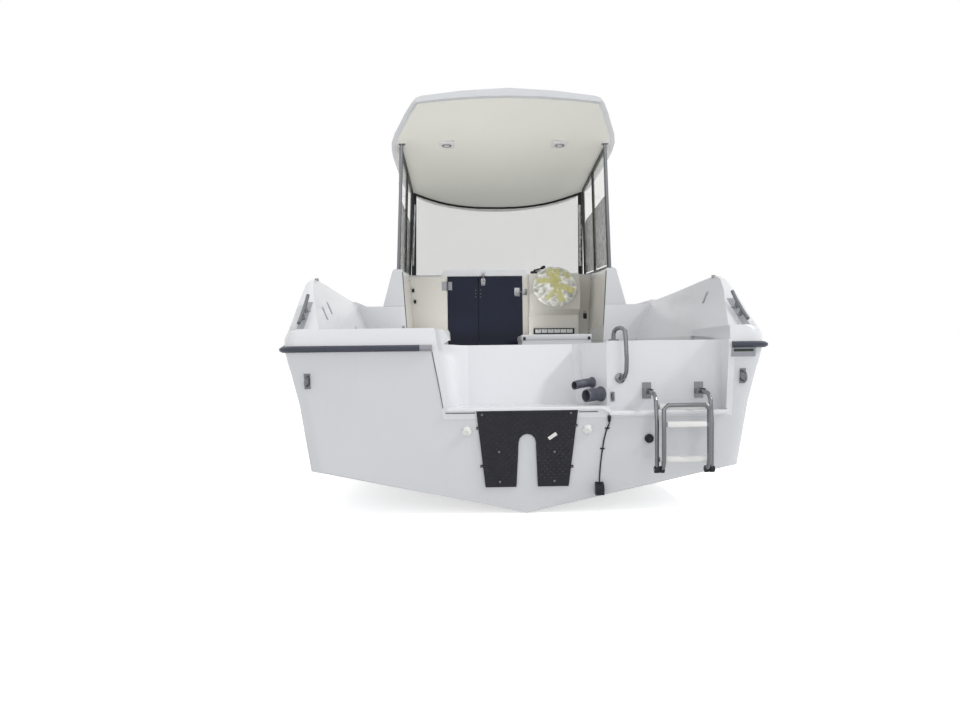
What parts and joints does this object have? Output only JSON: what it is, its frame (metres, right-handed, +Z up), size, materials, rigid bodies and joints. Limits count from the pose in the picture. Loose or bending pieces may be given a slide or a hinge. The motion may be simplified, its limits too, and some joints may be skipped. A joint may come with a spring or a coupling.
{
  "type": "pilothouse boat",
  "caption": "Outboard pilothouse boat with open cockpit, motor well, folding ladder, glazed wheelhouse, hardtop on posts, folding cuddy door and deck hatches.",
  "frame": {"origin": "on the centreline at the waterline, amidships", "axes": "+Y towards the bow, +X to starboard, +Z up"},
  "size_m": [2.3916, 6.0764, 2.505],
  "materials": {
    "gelcoat": "polished white gelcoat",
    "liner": "cream moulded liner",
    "rubber": "dark navy grey fender rubber",
    "acrylic": "dark navy acrylic sheet",
    "glass": "clear safety glass",
    "frame": "black coated aluminium",
    "stainless": "polished stainless steel",
    "black": "black moulded plastic",
    "white_plastic": "white plastic"
  },
  "bodies": {
    "boat": {"hull": "gelcoat", "deck": "gelcoat", "cabin_trunk": "gelcoat", "hardtop": "gelcoat", "seat_box": "gelcoat", "door_header": "gelcoat", "bulkhead": "liner", "cockpit_sole": "liner", "helm_console": "liner", "rub_rail": "rubber", "side_pane_aft_port": "glass", "side_pane_aft_starboard": "glass", "side_pane_fore_port": "glass", "side_pane_fore_starboard": "glass", "windscreen_glass": "glass", "side_window_frame_port": "frame", "side_window_frame_starboard": "frame", "windscreen_frame": "frame", "door_hinge": "stainless", "grab_rail": "stainless", "hatch_hinge_port": "stainless", "hatch_hinge_starboard": "stainless", "locker_hinge_port": "stainless", "locker_hinge_starboard": "stainless", "ladder_bracket_port": "stainless", "ladder_bracket_starboard": "stainless", "roof_post_port": "stainless", "roof_post_starboard": "stainless", "stern_cleat_port": "stainless", "stern_cleat_starboard": "stainless", "stern_eye_port": "stainless", "stern_eye_starboard": "stainless", "step_eye": "stainless", "bow_eye": "stainless", "bow_rail": "stainless", "bow_roller": "stainless", "downlight_port": "stainless", "downlight_starboard": "stainless", "engine_pad": "black", "helm_hub": "black", "switch_panel": "black", "throttle_control": "black", "sole_scupper": "black", "transducer": "black", "transducer_cable": "black", "cable_gland": "black", "rigging_boot_1": "black", "rigging_boot_2": "black", "rub_rail_cap": "white_plastic", "well_drain_port": "white_plastic", "well_drain_starboard": "white_plastic", "hatch_frame": "white_plastic"},
    "ladder_upper": {"ladder_upper": "stainless"},
    "ladder_lower": {"ladder_lower": "stainless"},
    "door_inner": {"door_leaf_inner": "acrylic"},
    "door_outer": {"door_leaf_outer": "acrylic"},
    "steering_wheel": {"steering_wheel": "black"},
    "hatch_lid": {"hatch_lid": "acrylic"},
    "anchor_locker_lid": {"anchor_locker_lid": "gelcoat"}
  },
  "joints": [
    {"name": "steering", "type": "hinge", "parent": "boat", "child": "steering_wheel", "pos_m": [0.422, -0.598, 1.038], "axis": [0, -0.9262, 0.377], "range_deg": [-540, 540]},
    {"name": "door_fold_inner", "type": "hinge", "parent": "boat", "child": "door_inner", "pos_m": [-0.456, -0.307, 1.08], "axis": [0, 0, 1], "range_deg": [-80, 0]},
    {"name": "door_fold_outer", "type": "hinge", "parent": "door_inner", "child": "door_outer", "pos_m": [-0.193, -0.288, 1.08], "axis": [0, 0, 1], "range_deg": [0, 160]},
    {"name": "ladder_swing", "type": "hinge", "parent": "boat", "child": "ladder_upper", "pos_m": [0.732, -2.875, 0.285], "axis": [1, 0, 0], "range_deg": [-110, 0]},
    {"name": "ladder_unfold", "type": "hinge", "parent": "ladder_upper", "child": "ladder_lower", "pos_m": [0.732, -3.008, -0.075], "axis": [1, 0, 0], "range_deg": [0, 180]},
    {"name": "foredeck_hatch", "type": "hinge", "parent": "boat", "child": "hatch_lid", "pos_m": [0, 1.39917, 1.19184], "axis": [-1, 0, 0], "range_deg": [0, 100]},
    {"name": "anchor_locker", "type": "hinge", "parent": "boat", "child": "anchor_locker_lid", "pos_m": [0, 2.08, 0.91521], "axis": [1, 0, 0], "range_deg": [0, 95]}
  ],
  "couplings": [
    {"joint": "door_fold_outer", "follows": "door_fold_inner", "ratio": -2}
  ]
}
